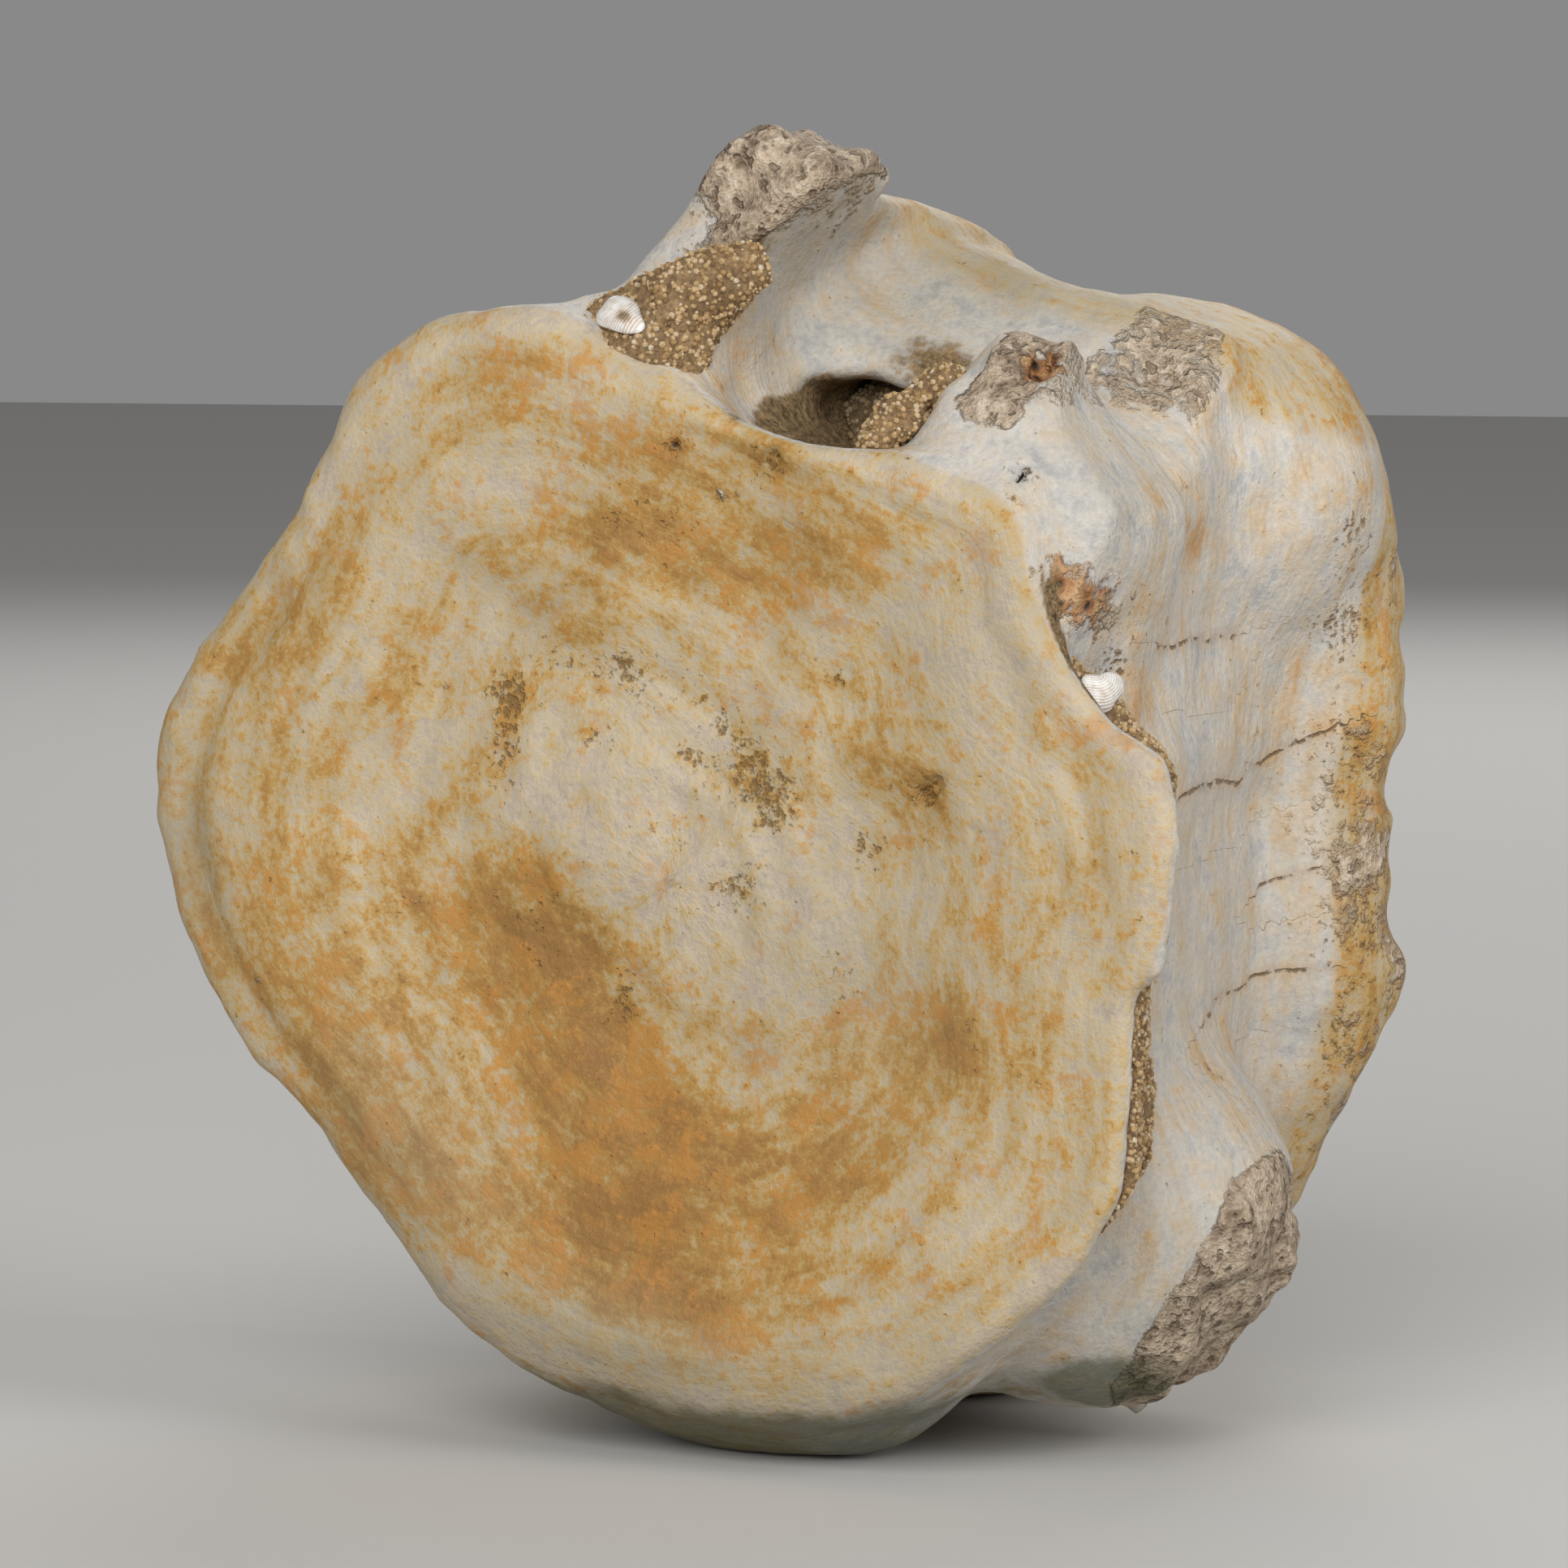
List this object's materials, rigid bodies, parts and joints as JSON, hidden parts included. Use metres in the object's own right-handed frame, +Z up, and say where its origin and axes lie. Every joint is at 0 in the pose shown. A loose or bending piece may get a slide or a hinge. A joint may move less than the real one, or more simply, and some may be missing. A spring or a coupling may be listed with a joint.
{
  "type": "fossil plesiosaur vertebra",
  "caption": "Spool-shaped fossil neck vertebra with a dished, nearly round face, a broken neural arch over an open canal, broken rib stumps, and sandy matrix in its hollows.",
  "frame": {"origin": "under the middle of the vertebra's box, on the plane it rests on", "axes": "+Z up and along the longest extent, +Y from the dished front face towards the back face, the shortest extent, +X to the right as the front face is seen"},
  "size_m": [0.0726, 0.0422, 0.0796],
  "materials": {
    "fossil_bone": "mineralised bone, matt to faintly waxy, cream and grey-white with ochre and orange iron stains",
    "sandy_matrix": "rough, brown, cemented sand with grains of quartz and dark specks",
    "shell": "smooth white fossil shell with a faint nacre lustre"
  },
  "bodies": {
    "root": {"vertebra": "fossil_bone", "corner_sediment": "sandy_matrix", "canal_sediment": "sandy_matrix", "rim_sediment": "sandy_matrix", "corner_shell_chip": "shell", "rim_shell_chip": "shell"}
  },
  "joints": []
}
